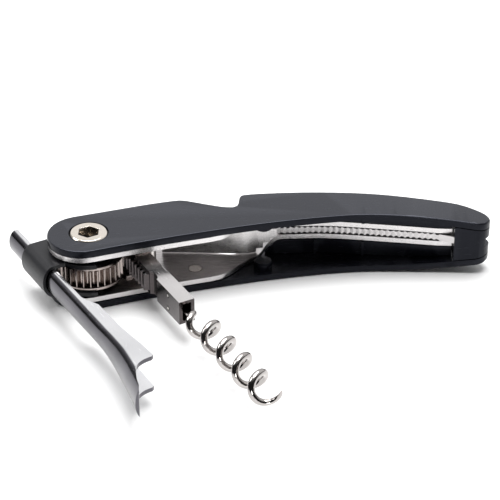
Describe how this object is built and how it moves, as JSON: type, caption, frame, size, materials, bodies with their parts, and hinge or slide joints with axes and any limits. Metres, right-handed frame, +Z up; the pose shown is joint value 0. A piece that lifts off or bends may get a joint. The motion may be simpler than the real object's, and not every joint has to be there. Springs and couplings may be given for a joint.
{
  "type": "lever corkscrew",
  "caption": "Folding waiter's corkscrew whose worm is drawn by a rack bar on a pinion at the handle's axle, with a channel lever and a scalloped foil knife.",
  "frame": {"origin": "main axle's axis on the lower face that the tool rests on", "axes": "+X from the axle to the handle's tail, +Y to the handle's convex back, +Z up through the upper cover; the hinges all turn about Z"},
  "size_m": [0.1418, 0.0942, 0.0202],
  "materials": {
    "cover_polymer": "moulded black polymer, semi-gloss",
    "liner_steel": "satin rolled sheet with bright cut edges",
    "bright_steel": "polished",
    "gear_steel": "machined, bright",
    "bar_steel": "ground flat faces",
    "worm_chrome": "polished chrome",
    "lever_steel": "dark polished, drawn lengthwise",
    "bracket_black": "satin black",
    "blade_steel": "satin with ground scallops"
  },
  "bodies": {
    "handle": {"upper_cover": "cover_polymer", "lower_cover": "cover_polymer", "tail_block": "cover_polymer", "upper_liner": "liner_steel", "lower_liner": "liner_steel", "well_web": "liner_steel", "upper_liner_screw_1": "bright_steel", "upper_liner_screw_2": "bright_steel", "lower_liner_screw_1": "bright_steel", "lower_liner_screw_2": "bright_steel", "axle_barrel": "bright_steel", "axle_screw": "bright_steel", "axle_washer_upper": "bright_steel", "axle_washer_lower": "bright_steel", "gear_key": "bright_steel", "pinion_gear": "gear_steel", "knife_pin": "bright_steel"},
    "yoke": {"yoke_upper_plate": "gear_steel", "yoke_lower_plate": "gear_steel", "roller_pin_front": "bright_steel", "roller_pin_rear": "bright_steel"},
    "roller_front": {"guide_roller_front": "bright_steel"},
    "roller_rear": {"guide_roller_rear": "bright_steel"},
    "rack": {"rack_bar": "bar_steel", "worm": "worm_chrome", "worm_pin_upper": "bright_steel", "worm_pin_lower": "bright_steel"},
    "lever": {"lever_bracket": "bracket_black", "lever_channel": "lever_steel"},
    "knife": {"knife_blade": "blade_steel"}
  },
  "joints": [
    {"name": "swing", "type": "hinge", "parent": "handle", "child": "yoke", "pos_m": [0, 0, 0.01], "axis": [0, 0, 1], "range_deg": [-100, 59.2]},
    {"name": "rack_slide", "type": "slide", "parent": "yoke", "child": "rack", "axis": [0.4818, -0.8763, 0], "range_m": [-0.01624, 0.00962]},
    {"name": "roller_front_spin", "type": "hinge", "parent": "yoke", "child": "roller_front", "pos_m": [0.01748, 0.00333, 0.01], "axis": [0, 0, 1], "range_deg": [-583, 346]},
    {"name": "roller_rear_spin", "type": "hinge", "parent": "yoke", "child": "roller_rear", "pos_m": [0.01218, 0.01297, 0.01], "axis": [0, 0, 1], "range_deg": [-583, 346]},
    {"name": "lever_tilt", "type": "hinge", "parent": "yoke", "child": "lever", "pos_m": [0, 0, 0.01], "axis": [0, 0, 1], "range_deg": [-3, 14.5]},
    {"name": "knife_swing", "type": "hinge", "parent": "handle", "child": "knife", "pos_m": [0.11073, 0.0142, 0.01], "axis": [0, 0, -1], "range_deg": [0, 160]}
  ],
  "couplings": [
    {"joint": "rack_slide", "follows": "swing", "m_per_rad": 0.0093},
    {"joint": "roller_front_spin", "follows": "swing", "ratio": 5.8125},
    {"joint": "roller_rear_spin", "follows": "swing", "ratio": 5.8125}
  ]
}
